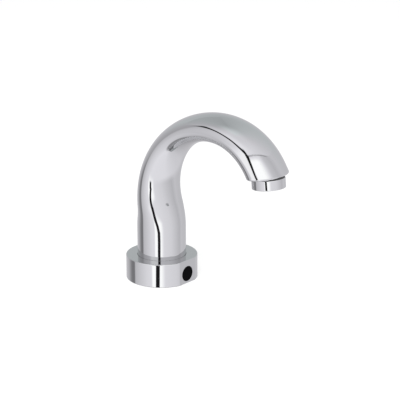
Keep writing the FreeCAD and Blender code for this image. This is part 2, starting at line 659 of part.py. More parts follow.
def make_flow_disc():
    """Jet disc inside the cartridge."""
    radius = CARTRIDGE_RADIUS - CARTRIDGE_WALL - FIT
    low = CARTRIDGE_TOP + 2 * REGULATOR_CORD_RADIUS
    high = low + FLOW_DISC_THICKNESS
    angles = [2 * pi * k / FLOW_DISC_HOLES for k in range(FLOW_DISC_HOLES)]
    holes = [cylinder(FLOW_DISC_HOLE_RADIUS, low - PAST, high + PAST,
                      FLOW_DISC_HOLE_CIRCLE * cos(a), FLOW_DISC_HOLE_CIRCLE * sin(a)) for a in angles]
    return outlet_placed(cylinder(radius, low, high).cut(Part.makeCompound(holes)))


def make_regulator_ring():
    """Rubber ring that limits the flow, on the jet disc."""
    return outlet_placed(torus(REGULATOR_RADIUS, REGULATOR_CORD_RADIUS,
                               CARTRIDGE_TOP + REGULATOR_CORD_RADIUS))


def make_inlet_screen():
    """Domed strainer on top of the cartridge."""
    rim = CARTRIDGE_RADIUS - CARTRIDGE_WALL / 2
    sphere_radius = (rim * rim + SCREEN_HEIGHT * SCREEN_HEIGHT) / (2 * SCREEN_HEIGHT)
    centre = FreeCAD.Vector(0, 0, CARTRIDGE_TOP - SCREEN_HEIGHT + sphere_radius)
    dome = Part.makeSphere(sphere_radius, centre)
    hollow = Part.makeSphere(sphere_radius - SCREEN_THICKNESS, centre)
    cap = cylinder(rim, CARTRIDGE_TOP - SCREEN_HEIGHT - PAST, CARTRIDGE_TOP)
    return outlet_placed(dome.cut(hollow).common(cap))


# ---------------------------------------------------------------- sensor
CAPSULE_INNER = CAPSULE_RADIUS - CAPSULE_WALL
DIODE_FRONT = CAPSULE_FRONT + DIODE_SETBACK
BOARD_FRONT = DIODE_FRONT + DIODE_LENGTH
BOARD_BACK = BOARD_FRONT + BOARD_THICKNESS


def make_sensor_window():
    """Dark round window, flush with the flat."""
    disc = cylinder(WINDOW_RADIUS, 0.0, WINDOW_THICKNESS)
    return sensor_placed(disc.makeChamfer(WINDOW_EDGE, edges_on_circle(disc, WINDOW_RADIUS, 0.0)))


def make_window_seal():
    """Rubber ring behind the window."""
    return sensor_placed(tube(WINDOW_RADIUS - FIT, CAPSULE_RADIUS - CAPSULE_WALL,
                              WINDOW_THICKNESS, CAPSULE_FRONT))


def make_sensor_housing():
    """Plastic capsule with a ledge that the circuit board rests on."""
    ledge = CAPSULE_INNER - CAPSULE_WALL / 2
    profile = [(CAPSULE_INNER, CAPSULE_FRONT), (CAPSULE_RADIUS, CAPSULE_FRONT),
               (CAPSULE_RADIUS, CAPSULE_BACK), (CAPSULE_INNER, CAPSULE_BACK),
               (CAPSULE_INNER, CAPSULE_BACK - BACK_COVER_THICKNESS),
               (ledge, CAPSULE_BACK - BACK_COVER_THICKNESS), (ledge, BOARD_BACK),
               (CAPSULE_INNER, BOARD_BACK)]
    return sensor_placed(turned(profile))


def make_sensor_back_cover():
    """Plug in the back of the capsule, with the cable's exit."""
    return sensor_placed(tube(CAPSULE_INNER - FIT, BACK_COVER_HOLE_RADIUS,
                              CAPSULE_BACK - BACK_COVER_THICKNESS, CAPSULE_BACK))


def make_sensor_board():
    """Round circuit board that carries the two diodes."""
    return sensor_placed(cylinder(CAPSULE_INNER - FIT, BOARD_FRONT, BOARD_BACK))


def make_light_baffle():
    """Wall between the two diodes."""
    height = 2 * sqrt((CAPSULE_INNER - LOOSE_FIT) ** 2 - (BAFFLE_THICKNESS / 2) ** 2)
    wall = Part.makeBox(BAFFLE_THICKNESS, height, BOARD_FRONT - CAPSULE_FRONT,
                        FreeCAD.Vector(-BAFFLE_THICKNESS / 2, -height / 2, CAPSULE_FRONT))
    return sensor_placed(wall)


def make_diode(side):
    """Round-nosed diode on its flange."""
    x = side * DIODE_SPACING / 2
    nose = Part.makeSphere(DIODE_RADIUS, FreeCAD.Vector(x, 0, DIODE_FRONT + DIODE_RADIUS))
    stem = cylinder(DIODE_RADIUS, DIODE_FRONT + DIODE_RADIUS, BOARD_FRONT, x)
    flange = cylinder(DIODE_FLANGE_RADIUS, BOARD_FRONT - DIODE_FLANGE_THICKNESS, BOARD_FRONT, x)
    return sensor_placed(nose.fuse([stem, flange]).removeSplitter())


# ---------------------------------------------------------------- all nodes
NODES = {
    "spout_body": make_spout_body,
    "base_ring": make_base_ring,
    "deck_seal": make_deck_seal,
    "base_plate": make_base_plate,
    "base_screws": make_base_screws,
    "threaded_shank": make_threaded_shank,
    "rubber_washer": make_rubber_washer,
    "steel_washer": make_steel_washer,
    "back_nut": make_back_nut,
    "inlet_manifold": make_inlet_manifold,
    "inlet_filter": make_inlet_filter,
    "cable_grommet": make_cable_grommet,
    "water_tube": make_water_tube,
    "tube_seal_lower": make_tube_seal_lower,
    "tube_seal_upper": make_tube_seal_upper,
    "outlet_nozzle": make_outlet_nozzle,
    "outlet_seal": make_outlet_seal,
    "aerator_housing": make_aerator_housing,
    "aerator_washer": make_aerator_washer,
    "aerator_cartridge": make_aerator_cartridge,
    "stream_straightener": make_stream_straightener,
    "flow_disc": make_flow_disc,
    "regulator_ring": make_regulator_ring,
    "inlet_screen": make_inlet_screen,
    "sensor_window": make_sensor_window,
    "window_seal": make_window_seal,
    "sensor_housing": make_sensor_housing,
    "sensor_back_cover": make_sensor_back_cover,
    "sensor_board": make_sensor_board,
    "light_baffle": make_light_baffle,
    "ir_emitter": lambda: make_diode(-1),
    "ir_receiver": lambda: make_diode(1),
}

os.makedirs("parts", exist_ok=True)
for name, make in NODES.items():
    shape = make()
    shape.exportStep("parts/" + name + ".step")
    print(name, "solids", len(shape.Solids), "valid", shape.isValid(), "volume", round(shape.Volume, 1))
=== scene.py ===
import json
from math import cos, pi, radians, sin, tan

import bmesh
import bpy
import numpy as np
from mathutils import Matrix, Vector


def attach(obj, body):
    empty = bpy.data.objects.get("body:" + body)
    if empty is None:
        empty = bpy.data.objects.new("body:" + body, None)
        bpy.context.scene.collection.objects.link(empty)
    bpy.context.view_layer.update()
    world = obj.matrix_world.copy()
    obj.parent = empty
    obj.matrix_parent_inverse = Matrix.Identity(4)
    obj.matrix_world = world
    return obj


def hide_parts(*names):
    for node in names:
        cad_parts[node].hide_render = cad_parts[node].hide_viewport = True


# Sensor tap: the visible pieces as smooth meshes, materials, camera, light tent and floor.
# Sizes are in millimetres, as in the solids, and turn into metres in the meshes.

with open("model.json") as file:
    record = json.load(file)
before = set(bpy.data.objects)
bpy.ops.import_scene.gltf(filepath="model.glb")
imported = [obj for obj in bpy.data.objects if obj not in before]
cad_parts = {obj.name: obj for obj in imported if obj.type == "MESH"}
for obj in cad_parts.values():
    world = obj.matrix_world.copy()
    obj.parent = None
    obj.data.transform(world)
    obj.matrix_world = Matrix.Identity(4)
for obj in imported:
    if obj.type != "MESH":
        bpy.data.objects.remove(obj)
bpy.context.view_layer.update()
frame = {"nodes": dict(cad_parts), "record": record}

# ---------------------------------------------------------------- sizes
RING_RADIUS = 29.0
RING_HEIGHT = 19.4
RING_FLAT_DEPTH = 1.5
RING_FLAT_DISTANCE = RING_RADIUS - RING_FLAT_DEPTH
RING_TOP_ROUND = 0.6
RING_BORE_ROUND = 0.3
RING_FOOT_CHAMFER = 0.3
RING_FOOT_ROUND = 0.12
RING_WEB_BOTTOM = 4.4
WEB_TOP = 7.4
COLUMN_BORE = 19.8
SHANK_HOLE = 12.1
PLATE_RECESS = 20.4
SEAL_GROOVE = (22.55, 25.45, 1.2)       # inner radius, outer radius, depth
SCREW_COUNT = 3
SCREW_CIRCLE = 16.2
SCREW_HOLE = 2.0
SCREW_HOLE_TOP = 8.4

# Distances along the spout are measured on its centre line from the column's top.
COLUMN_RADIUS = 19.7
COLUMN_TOP = 47.6
RUNS = [(71.2, -10.85), (60.7, 112.2), (52.6, 47.95)]   # bends: radius, degrees forward
TIP_LENGTH = 3.8
NARROWING_LENGTH = 83.4
NARROWING_EASE = 5.0
THIN_HALF_DEPTH = 10.8
FLARE_LENGTH = 45.0
TIP_HALF_DEPTH = 12.0
TIP_HALF_WIDTH = 20.0
SPOUT_WALL = 2.5
SPOUT_NOSE_SOLID = 14.0
SPOUT_END_ROUND = 1.2
OUTLET_TILT = 5.65
NOZZLE_SEAT = (8.55, 4.55)      # radius, depth
TUBE_SOCKET = (5.05, 5.05)      # radius, depth
PASSAGE_RADIUS = 4.0

OUTLET_RING_RADIUS = 12.8
OUTLET_RING_BORE = 11.05
OUTLET_RING_GAP = 1.0           # from the spout's end face
OUTLET_RING_END = 8.7           # from the spout's end face
OUTLET_RING_ROUND = 0.5
OUTLET_LIP_BORE = 9.0
OUTLET_LIP_START = 6.8
OUTLET_LIP_ROUND = 0.25
NOZZLE_RADIUS = 11.0
NOZZLE_NECK = (8.5, 4.5)        # radius, length up into the spout
NOZZLE_LENGTH = 5.2
NOZZLE_BORE = 6.0
NOZZLE_SOCKET = (9.3, 0.8)      # radius, floor under the end face
NOZZLE_THREAD = {"crest": NOZZLE_RADIUS, "low": 0.7, "high": NOZZLE_LENGTH, "pitch": 1.0,
                 "depth": 0.5}
SHANK_RADIUS = 12.0
SHANK_BORE = 9.5
SHANK_BOTTOM = -60.0
SHANK_THREAD = {"crest": SHANK_RADIUS, "low": SHANK_BOTTOM - 1.0, "high": -2.0, "pitch": 1.5,
                "depth": 0.8}

SENSOR_HEIGHT = 8.1
WINDOW_RADIUS = 6.25
WINDOW_THICKNESS = 1.8
WINDOW_ROUND = 0.3
WINDOW_BORE = (6.3, 2.4)        # radius, depth from the flat
CAPSULE_BORE = (5.15, 13.9)     # radius, depth from the flat
POCKET = (12.2, 14.6, 7.5)      # width, depth from the flat, height
OVERCUT = 1.0                   # by which a cutter passes an open side

# ---------------------------------------------------------------- fineness of the meshes
MILLIMETRE = 0.001
MERGE_DISTANCE = 1e-7           # metres
SHARP_ANGLE = 14.0              # degrees between faces from which an edge stays sharp
SUPPORT = 0.12                  # from a rounding to the loop that holds the next face flat
ROUND_STEPS = 8
END_ROUND_STEPS = 7
ROWS_PER_PITCH = 8.0
SPOUT_SEGMENTS = 256
OUTLET_SEGMENTS = 192
WINDOW_SEGMENTS = 128
NOZZLE_SEGMENTS = 128
SHANK_SEGMENTS = 96
CAPSULE_SEGMENTS = 96
SCREW_SEGMENTS = 32
RING_FLAT_SEGMENTS = 40
RING_ARC_SEGMENTS = 240

X_AXIS = np.array([1.0, 0.0, 0.0])
Y_AXIS = np.array([0.0, 1.0, 0.0])
Z_AXIS = np.array([0.0, 0.0, 1.0])
ORIGIN = np.zeros(3)
WINDOW_PLACE = np.array([0.0, -RING_FLAT_DISTANCE, SENSOR_HEIGHT])


# ---------------------------------------------------------------- mesh helpers
def finish_mesh(mesh):
    """Merged poles, outward normals, smooth faces that split at real edges."""
    work = bmesh.new()
    work.from_mesh(mesh)
    bmesh.ops.remove_doubles(work, verts=work.verts, dist=MERGE_DISTANCE)
    bmesh.ops.recalc_face_normals(work, faces=work.faces)
    work.to_mesh(mesh)
    work.free()
    mesh.shade_smooth()
    mesh.set_sharp_from_angle(angle=radians(SHARP_ANGLE))
    mesh.update()


def grid_object(name, rows):
    """Closed object from loops of points: each loop joins the next, the last one the first."""
    rows = np.asarray(rows, float)
    count, around = rows.shape[:2]
    ids = np.arange(count * around).reshape(count, around)
    up = np.roll(ids, -1, axis=0)
    quads = np.stack([ids, np.roll(ids, -1, axis=1), np.roll(up, -1, axis=1), up], axis=-1)
    mesh = bpy.data.meshes.new(name)
    mesh.from_pydata((rows.reshape(-1, 3) * MILLIMETRE).tolist(), [],
                     quads.reshape(-1, 4).tolist())
    finish_mesh(mesh)
    piece = bpy.data.objects.new(name, mesh)
    bpy.context.scene.collection.objects.link(piece)
    return piece


def along_arc(first, last, sweep, share):
    """Arm of an arc at a share of the way from its first arm to its last."""
    return (np.sin((1.0 - share) * sweep) * first + np.sin(share * sweep) * last) / np.sin(sweep)


def rounded(corners):
    """Closed outline from (radius, z, rounding) corners, with loops that hold flat faces flat."""
    points = [np.array(corner[:2], float) for corner in corners]
    outline = []
    for index, corner in enumerate(corners):
        here = points[index]
        if corner[2] == 0.0:
            outline.append(here)
            continue
        before = points[index - 1] - here
        after = points[(index + 1) % len(points)] - here
        before /= np.linalg.norm(before)
        after /= np.linalg.norm(after)
        half = np.arccos(np.clip(before @ after, -1.0, 1.0)) / 2.0
        reach = corner[2] / tan(half)
        centre = here + (before + after) / np.linalg.norm(before + after) * corner[2] / sin(half)
        first = here + before * reach - centre
        last = here + after * reach - centre
        outline.append(here + before * (reach + SUPPORT))
        for share in np.linspace(0.0, 1.0, ROUND_STEPS + 1):
            outline.append(centre + along_arc(first, last, pi - 2.0 * half, share))
        outline.append(here + after * (reach + SUPPORT))
    return outline


def around_axis(radius, along, angles, origin, axis):
    """Loop of points about an axis in the plane X = 0."""
    across = np.cross(axis, X_AXIS)
    radius = np.broadcast_to(radius, angles.shape)[:, None]
    return (origin + axis * along + radius * np.cos(angles)[:, None] * X_AXIS
            + radius * np.sin(angles)[:, None] * across)


def turned(name, outline, segments, origin=ORIGIN, axis=Z_AXIS, thread=None):
    """Solid of revolution of a closed (radius, along) outline, with an optional helical thread."""
    angles = np.linspace(0.0, 2.0 * pi, segments, endpoint=False)
    rows = []
    for radius, along in outline:
        radii = np.full(segments, float(radius))
        if thread and abs(radius - thread["crest"]) < 1e-6:
            inside = min(along - thread["low"], thread["high"] - along)
            fade = min(max(inside / thread["pitch"], 0.0), 1.0)
            phase = (along / thread["pitch"] - angles / (2.0 * pi)) % 1.0
            radii -= thread["depth"] * fade * np.abs(2.0 * phase - 1.0)
        rows.append(around_axis(radii, along, angles, origin, axis))
    return grid_object(name, rows)


def rod(radius, low, high):
    """Outline of a plain round rod."""
    return [(0.0, low), (radius, low), (radius, high), (0.0, high)]


def run_of(radius, low, high, step):
    """Points up a cylinder wall, close enough for a thread."""
    count = max(1, int(round((high - low) / step)))
    return [(radius, low + (high - low) * k / count) for k in range(count + 1)]


def carved(piece, cutters):
    """The piece less its cutters, as a plain mesh."""
    for cutter in cutters:
        modifier = piece.modifiers.new("cut", "BOOLEAN")
        modifier.operation = "DIFFERENCE"
        modifier.solver = "EXACT"
        modifier.object = cutter
    bpy.context.view_layer.update()
    evaluated = piece.evaluated_get(bpy.context.evaluated_depsgraph_get())
    mesh = bpy.data.meshes.new_from_object(evaluated)
    piece.modifiers.clear()
    piece.data = mesh
    finish_mesh(mesh)
    for cutter in cutters:
        bpy.data.objects.remove(cutter)
    return piece


# ---------------------------------------------------------------- spout centre line
LENGTH = sum(radius * radians(abs(turn)) for radius, turn in RUNS) + TIP_LENGTH


def centre_line(distance):
    """Forward, up and heading at a distance above the column's top."""
    forward, up, heading = 0.0, COLUMN_TOP, 0.0
    if distance <= 0.0:
        return forward, up + distance, heading
    left = distance
    for radius, turn in RUNS:
        length = radius * radians(abs(turn))
        bend = radius if turn > 0.0 else -radius
        after = heading + min(left, length) / bend
        forward += bend * (cos(heading) - cos(after))
        up += bend * (sin(after) - sin(heading))
        heading = after
        left -= length
        if left <= 0.0:
            return forward, up, heading
    return forward + left * sin(heading), up + left * cos(heading), heading


def at(forward, up):
    """Point or direction in the plane of symmetry."""
    return np.array([0.0, -forward, up])


def half_depth(distance):
    """Half the spout's thickness, front to back."""
    eased = max(0.0, distance)
    if abs(distance) < NARROWING_EASE:
        eased = (distance + NARROWING_EASE) ** 2 / (4.0 * NARROWING_EASE)
    share = min(1.0, eased / NARROWING_LENGTH)
    depth = THIN_HALF_DEPTH + (COLUMN_RADIUS - THIN_HALF_DEPTH) * (1.0 - share) ** 2
    flare = min(max(0.0, (distance - LENGTH + FLARE_LENGTH) / FLARE_LENGTH), 1.0)
    return depth + (TIP_HALF_DEPTH - THIN_HALF_DEPTH) * flare * flare * (1.5 - 0.5 * flare)


def spout_point(distance, angle, inset=0.0):
    """Point of the spout's surface; angle 90 degrees is the outer side of the arch."""
    forward, up, heading = centre_line(distance)
    wide = COLUMN_RADIUS + (TIP_HALF_WIDTH - COLUMN_RADIUS) * max(0.0, distance / LENGTH) - inset
    deep = half_depth(distance) - inset
    across = at(-cos(heading), sin(heading))
    return at(forward, up) + wide * cos(angle) * X_AXIS + deep * sin(angle) * across


END_POINT = at(*centre_line(LENGTH)[:2])
OUTLET_AXIS = at(sin(radians(OUTLET_TILT)), -cos(radians(OUTLET_TILT)))
MOUTH_DISTANCE = LENGTH - SPOUT_NOSE_SOLID
*MOUTH_PLACE, MOUTH_HEADING = centre_line(MOUTH_DISTANCE)
MOUTH_POINT = at(*MOUTH_PLACE)
MOUTH_AXIS = at(sin(MOUTH_HEADING), cos(MOUTH_HEADING))


def end_distance(angle):
    """Where the surface line at this angle meets the end face, by halving."""
    span, halvings = 20.0, 50
    low, high = LENGTH - span, LENGTH + span
    for _ in range(halvings):
        middle = (low + high) / 2.0
        if (spout_point(middle, angle) - END_POINT) @ OUTLET_AXIS < 0.0:
            low = middle
        else:
            high = middle
    return low


def end_directions(angles, ends, corner):
    """Unit directions at the end's edge: back along the skin, and inward along the end face."""
    probe = 0.3
    back = np.array([spout_point(s - probe, a) for s, a in zip(ends, angles)]) - corner
    tangent = np.roll(corner, -1, axis=0) - np.roll(corner, 1, axis=0)
    tangent /= np.linalg.norm(tangent, axis=1, keepdims=True)
    back -= (back * tangent).sum(1, keepdims=True) * tangent
    back /= np.linalg.norm(back, axis=1, keepdims=True)
    inward = np.cross(tangent, OUTLET_AXIS)
    inward *= np.sign(((corner.mean(0) - corner) * inward).sum(1, keepdims=True))
    return back, inward


# ---------------------------------------------------------------- visible pieces
def make_spout():
    """Hollow spout in one skin: outside, rounded end, nozzle seat, passage, cavity, foot."""
    column_spacing, bend_rows, tail_rows, cavity_rows = 4.0, 210, 26, 90
    tail = 30.0                         # length that eases into the slanting end face
    short_of_round = 1.15               # where the tail stops, in reaches of the rounding
    face_shares = (0.0, 0.35, 0.7, 1.0)
    angles = np.linspace(0.0, 2.0 * pi, SPOUT_SEGMENTS, endpoint=False)
    ends = np.array([end_distance(angle) for angle in angles])
    corner = np.array([spout_point(s, a) for s, a in zip(ends, angles)])
    back, inward = end_directions(angles, ends, corner)
    half = np.arccos((back * inward).sum(1, keepdims=True)) / 2.0
    reach = SPOUT_END_ROUND / np.tan(half)
    middle = back + inward
    middle /= np.linalg.norm(middle, axis=1, keepdims=True)
    centre = corner + middle * SPOUT_END_ROUND / np.sin(half)
    first = corner + back * reach - centre
    last = corner + inward * reach - centre

    rows = []
    straight = int(round(COLUMN_TOP - NARROWING_EASE - WEB_TOP) / column_spacing)
    stations = list(np.linspace(WEB_TOP - COLUMN_TOP, -NARROWING_EASE, straight + 1))
    stations += list(np.linspace(-NARROWING_EASE, LENGTH - tail, bend_rows)[1:])
    for distance in stations:
        rows.append([spout_point(distance, angle) for angle in angles])
    start = LENGTH - tail
    stops = ends - reach[:, 0] * short_of_round
    for share in np.linspace(0.0, 1.0, tail_rows)[1:]:
        rows.append([spout_point(start + (stop - start) * share, angle)
                     for stop, angle in zip(stops, angles)])
    for share in np.linspace(0.0, 1.0, END_ROUND_STEPS + 1):
        rows.append(centre + along_arc(first, last, pi - 2.0 * half, share))
    rim = corner + inward * (reach + SUPPORT)
    seat_radius, seat_depth = NOZZLE_SEAT
    seat = around_axis(seat_radius, 0.0, angles, END_POINT, OUTLET_AXIS)
    for share in face_shares:
        rows.append(rim + (seat - rim) * share)
    rows.append(around_axis(seat_radius, -seat_depth, angles, END_POINT, OUTLET_AXIS))
    slope = (END_POINT - MOUTH_POINT) / np.linalg.norm(END_POINT - MOUTH_POINT)
    foot = END_POINT - slope * seat_depth / (slope @ OUTLET_AXIS)
    socket_radius, socket_depth = TUBE_SOCKET
    rows.append(around_axis(PASSAGE_RADIUS, 0.0, angles, foot, OUTLET_AXIS))
    rows.append(around_axis(PASSAGE_RADIUS, socket_depth, angles, MOUTH_POINT, MOUTH_AXIS))
    rows.append(around_axis(socket_radius, socket_depth, angles, MOUTH_POINT, MOUTH_AXIS))
    rows.append(around_axis(socket_radius, 0.0, angles, MOUTH_POINT, MOUTH_AXIS))
    for distance in np.linspace(MOUTH_DISTANCE, -NARROWING_EASE, cavity_rows):
        rows.append([spout_point(distance, angle, SPOUT_WALL) for angle in angles])
    rows.append([spout_point(WEB_TOP - COLUMN_TOP, angle, SPOUT_WALL) for angle in angles])
    return grid_object("spout", rows)


def ring_loop(radius, height, with_flat):
    """Loop round the base ring; with the flat it is a circle less a chord."""
    distance = RING_FLAT_DISTANCE - (RING_RADIUS - radius)
    corner = np.arccos(distance / radius if with_flat else RING_FLAT_DISTANCE / RING_RADIUS)
    share = np.linspace(-1.0, 1.0, RING_FLAT_SEGMENTS, endpoint=False)
    turn = np.linspace(corner, 2.0 * pi - corner, RING_ARC_SEGMENTS, endpoint=False)
    if with_flat:
        front = np.stack([radius * sin(corner) * share, np.full(len(share), -distance)], axis=-1)
    else:
        front = radius * np.stack([np.sin(corner * share), -np.cos(corner * share)], axis=-1)
    back = radius * np.stack([np.sin(turn), -np.cos(turn)], axis=-1)
    loop = np.concatenate([front, back])
    return np.column_stack([loop, np.full(len(loop), height)])


def make_ring():
    """Base ring with its front flat, bores and pocket."""
    inner, outer, deep = SEAL_GROOVE
    corners = [(RING_RADIUS - RING_FOOT_CHAMFER, 0.0, 0.0),
               (RING_RADIUS, RING_FOOT_CHAMFER, RING_FOOT_ROUND),
               (RING_RADIUS, RING_HEIGHT, RING_TOP_ROUND),
               (COLUMN_BORE, RING_HEIGHT, RING_BORE_ROUND), (COLUMN_BORE, WEB_TOP, 0.0),
               (SHANK_HOLE, WEB_TOP, 0.0), (SHANK_HOLE, RING_WEB_BOTTOM, 0.0),
               (PLATE_RECESS, RING_WEB_BOTTOM, 0.0), (PLATE_RECESS, 0.0, 0.0),
               (inner, 0.0, 0.0), (inner, deep, 0.0), (outer, deep, 0.0), (outer, 0.0, 0.0)]
    outside = outer + 0.1               # loops beyond the seal's groove carry the flat
    rows = [ring_loop(radius, height, radius > outside) for radius, height in rounded(corners)]
    ring = grid_object("ring", rows)
    cutters = []
    for name, (radius, depth), start, segments in (
            ("window_bore", WINDOW_BORE, -OVERCUT, WINDOW_SEGMENTS),
            ("capsule_bore", CAPSULE_BORE, 0.0, CAPSULE_SEGMENTS)):
        cutters.append(turned(name, rod(radius, start, depth), segments, WINDOW_PLACE, Y_AXIS))
    for k in range(SCREW_COUNT):
        angle = pi / 2.0 + 2.0 * pi * k / SCREW_COUNT
        place = np.array([SCREW_CIRCLE * cos(angle), SCREW_CIRCLE * sin(angle), 0.0])
        cutters.append(turned("screw_hole", rod(SCREW_HOLE, 0.0, SCREW_HOLE_TOP), SCREW_SEGMENTS,
                              place))
    width, depth, height = POCKET
    front, back = -PLATE_RECESS, depth - RING_FLAT_DISTANCE
    sides = [(-width / 2, front), (width / 2, front), (width / 2, back), (-width / 2, back)]
    low = [(x, y, -OVERCUT) for x, y in sides]
    high = [(x, y, height) for x, y in sides]
    middle = np.mean(sides, axis=0)
    cutters.append(grid_object("pocket", [low, high, [(*middle, height)] * 4,
                                          [(*middle, -OVERCUT)] * 4]))
    return carved(ring, cutters)


def make_window():
    """Dark window, flush in the flat, with a softly rounded edge."""
    corners = [(0.0, 0.0, 0.0), (WINDOW_RADIUS, 0.0, WINDOW_ROUND),
               (WINDOW_RADIUS, WINDOW_THICKNESS, 0.0), (0.0, WINDOW_THICKNESS, 0.0)]
    return turned("window", rounded(corners), WINDOW_SEGMENTS, WINDOW_PLACE, Y_AXIS)


def make_outlet_ring():
    """Outlet ring that carries the aerator; its bore is plain, without a thread."""
    corners = [(OUTLET_RING_BORE, OUTLET_RING_GAP, 0.0),
               (OUTLET_RING_RADIUS, OUTLET_RING_GAP, OUTLET_RING_ROUND),
               (OUTLET_RING_RADIUS, OUTLET_RING_END, OUTLET_RING_ROUND),
               (OUTLET_LIP_BORE, OUTLET_RING_END, OUTLET_LIP_ROUND),
               (OUTLET_LIP_BORE, OUTLET_LIP_START, 0.0),
               (OUTLET_RING_BORE, OUTLET_LIP_START, 0.0)]
    return turned("outlet_ring", rounded(corners), OUTLET_SEGMENTS, END_POINT, OUTLET_AXIS)


def make_nozzle():
    """Nozzle in the end face, with a real thread for the outlet ring."""
    neck, neck_length = NOZZLE_NECK
    socket, socket_floor = NOZZLE_SOCKET
    outline = [(NOZZLE_BORE, -neck_length), (neck, -neck_length), (neck, 0.0)]
    outline += run_of(NOZZLE_RADIUS, 0.0, NOZZLE_LENGTH, NOZZLE_THREAD["pitch"] / ROWS_PER_PITCH)
    outline += [(socket, NOZZLE_LENGTH), (socket, socket_floor), (NOZZLE_BORE, socket_floor)]
    return turned("nozzle", outline, NOZZLE_SEGMENTS, END_POINT, OUTLET_AXIS, NOZZLE_THREAD)


def make_shank():
    """Hollow threaded shank under the deck."""
    outline = run_of(SHANK_RADIUS, SHANK_BOTTOM, WEB_TOP, SHANK_THREAD["pitch"] / ROWS_PER_PITCH)
    outline += [(SHANK_BORE, WEB_TOP), (SHANK_BORE, SHANK_BOTTOM)]
    return turned("shank", outline, SHANK_SEGMENTS, thread=SHANK_THREAD)


# ---------------------------------------------------------------- node helper
class Graph:
    """Short names for the nodes of one tree."""

    def __init__(self, tree):
        self.tree = tree
        tree.nodes.clear()

    def add(self, kind, inputs=(), **settings):
        node = self.tree.nodes.new(kind)
        for key, value in settings.items():
            setattr(node, key, value)
        for key, value in dict(inputs).items():
            if isinstance(value, bpy.types.NodeSocket):
                self.tree.links.new(value, node.inputs[key])
            else:
                node.inputs[key].default_value = value
        return node

    def math(self, operation, a, b=0.0):
        return self.add("ShaderNodeMath", {0: a, 1: b}, operation=operation).outputs[0]

    def times(self, product, *factors):
        for factor in factors:
            product = self.math("MULTIPLY", product, factor)
        return product

    def remap(self, value, low, high, to_low, to_high, smooth=False):
        kind = "SMOOTHSTEP" if smooth else "LINEAR"
        return self.add("ShaderNodeMapRange", {"Value": value, "From Min": low, "From Max": high,
                                               "To Min": to_low, "To Max": to_high},
                        interpolation_type=kind).outputs["Result"]

    def ramp(self, value, stops):
        node = self.add("ShaderNodeValToRGB", {"Fac": value})
        elements = node.color_ramp.elements
        while len(elements) > 1:
            elements.remove(elements[-1])
        for index, (place, colour) in enumerate(stops):
            element = elements[0] if index == 0 else elements.new(place)
            element.position = place
            element.color = (*colour, 1.0)
        return node.outputs["Color"]

    def mix(self, factor, a, b):
        node = self.add("ShaderNodeMix", data_type="RGBA")
        for socket, value in ((node.inputs[0], factor), (node.inputs[6], a), (node.inputs[7], b)):
            if isinstance(value, bpy.types.NodeSocket):
                self.tree.links.new(value, socket)
            else:
                socket.default_value = (*value, 1.0)
        return node.outputs[2]

    def mix_shaders(self, factor, a, b):
        return self.add("ShaderNodeMixShader", {0: factor, 1: a, 2: b}).outputs[0]


# ---------------------------------------------------------------- materials
def surface(name, base, metallic, rough, tint, grain, bump=0.0, stretch=(1.0, 1.0, 1.0),
            settings=()):
    """Procedural finish: two close tones, uneven gloss and a fine relief.

    Tint is how far the tones lie from the base, grain the noise's scale per metre, bump the
    relief's height in metres and stretch the noise's scale along each axis.
    """
    material = bpy.data.materials.new(name)
    material.use_nodes = True
    graph = Graph(material.node_tree)
    place = graph.add("ShaderNodeTexCoord").outputs["Object"]
    place = graph.add("ShaderNodeMapping", {"Vector": place, "Scale": stretch}).outputs["Vector"]
    broad = graph.add("ShaderNodeTexNoise", {"Vector": place, "Scale": grain / 6.0, "Detail": 3.0})
    fine = graph.add("ShaderNodeTexNoise", {"Vector": place, "Scale": grain, "Detail": 5.0,
                                            "Roughness": 0.6})
    darker = tuple(channel * (1.0 - tint) for channel in base)
    lighter = tuple(min(1.0, channel * (1.0 + tint)) for channel in base)
    colour = graph.mix(graph.remap(broad.outputs["Fac"], 0.3, 0.7, 0.0, 1.0), darker, lighter)
    gloss = graph.remap(fine.outputs["Fac"], 0.3, 0.7, rough[0], rough[1])
    shader = graph.add("ShaderNodeBsdfPrincipled", {"Base Color": colour, "Roughness": gloss,
                                                    "Metallic": metallic, **dict(settings)})
    if bump:
        relief = graph.add("ShaderNodeBump", {"Height": fine.outputs["Fac"], "Strength": 0.5,
                                              "Distance": bump})
        graph.tree.links.new(relief.outputs["Normal"], shader.inputs["Normal"])
    output = graph.add("ShaderNodeOutputMaterial", {"Surface": shader.outputs["BSDF"]})
    output.is_active_output = True
    return material


